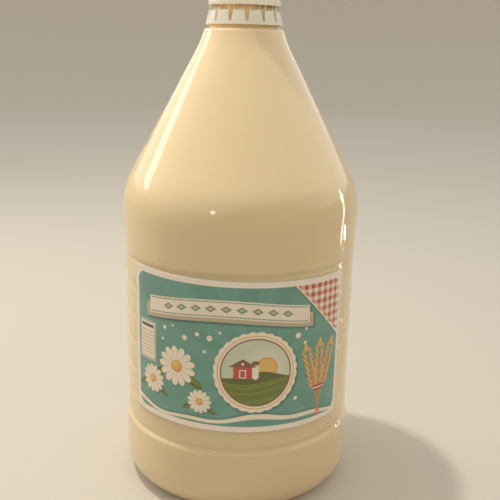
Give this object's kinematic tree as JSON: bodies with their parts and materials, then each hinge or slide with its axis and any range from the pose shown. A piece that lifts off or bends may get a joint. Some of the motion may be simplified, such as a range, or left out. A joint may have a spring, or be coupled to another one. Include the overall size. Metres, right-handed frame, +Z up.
{
  "type": "plastic milk jug",
  "caption": "Large round clear plastic bottle full of milk, with a conical shoulder, a ribbed waist, a wrap label and a white screw cap with a slotted tamper band.",
  "frame": {"origin": "middle of the plane that the bottle stands on", "axes": "+Z up through the neck, and -Y out of the middle of the label"},
  "size_m": [0.149, 0.149, 0.3123],
  "materials": {
    "clear_plastic": "clear, glossy blow-moulded wall",
    "milk": "opaque cream-white liquid",
    "printed_label": "satin printed film with a white border",
    "cap_plastic": "smooth white moulding"
  },
  "bodies": {
    "root": {"bottle": "clear_plastic", "milk": "milk", "label": "printed_label", "cap": "cap_plastic"}
  },
  "joints": []
}
